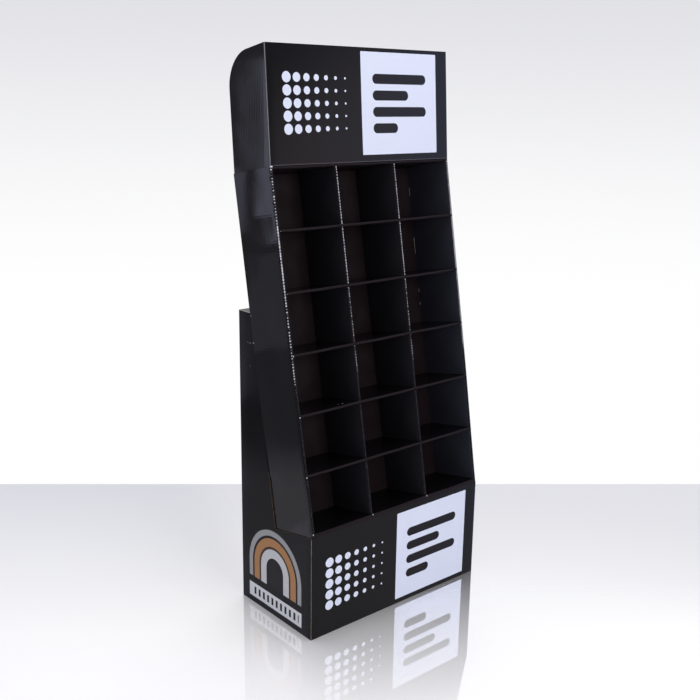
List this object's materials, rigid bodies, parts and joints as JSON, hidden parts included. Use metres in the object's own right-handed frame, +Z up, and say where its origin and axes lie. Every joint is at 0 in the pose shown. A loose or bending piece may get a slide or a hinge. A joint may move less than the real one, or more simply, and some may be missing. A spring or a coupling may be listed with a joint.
{
  "type": "cardboard display stand",
  "caption": "Floor-standing cardboard display stand: a base box with a tall rear support, a tray of open pockets that leans back, and a header box with a round rear corner.",
  "frame": {"origin": "bottom centre of the whole stand's box, on the floor", "axes": "+X along the front to the right, -Y out of the front, +Z up"},
  "size_m": [0.676, 0.3764, 1.65],
  "materials": {
    "printed_board": "gloss laminate",
    "kraft_board": "matt"
  },
  "bodies": {
    "root": {"base_wrap": "printed_board", "tray_wrap": "printed_board", "bottom_shelf": "printed_board", "shelf_1": "printed_board", "shelf_2": "printed_board", "shelf_3": "printed_board", "shelf_4": "printed_board", "shelf_5": "printed_board", "top_shelf": "printed_board", "divider_left": "printed_board", "divider_right": "printed_board", "header_wrap": "printed_board", "header_cover": "printed_board", "tray_cradle": "kraft_board", "riser_long": "kraft_board", "riser_fin_left": "kraft_board", "riser_fin_right": "kraft_board", "header_brace": "kraft_board"}
  },
  "joints": []
}
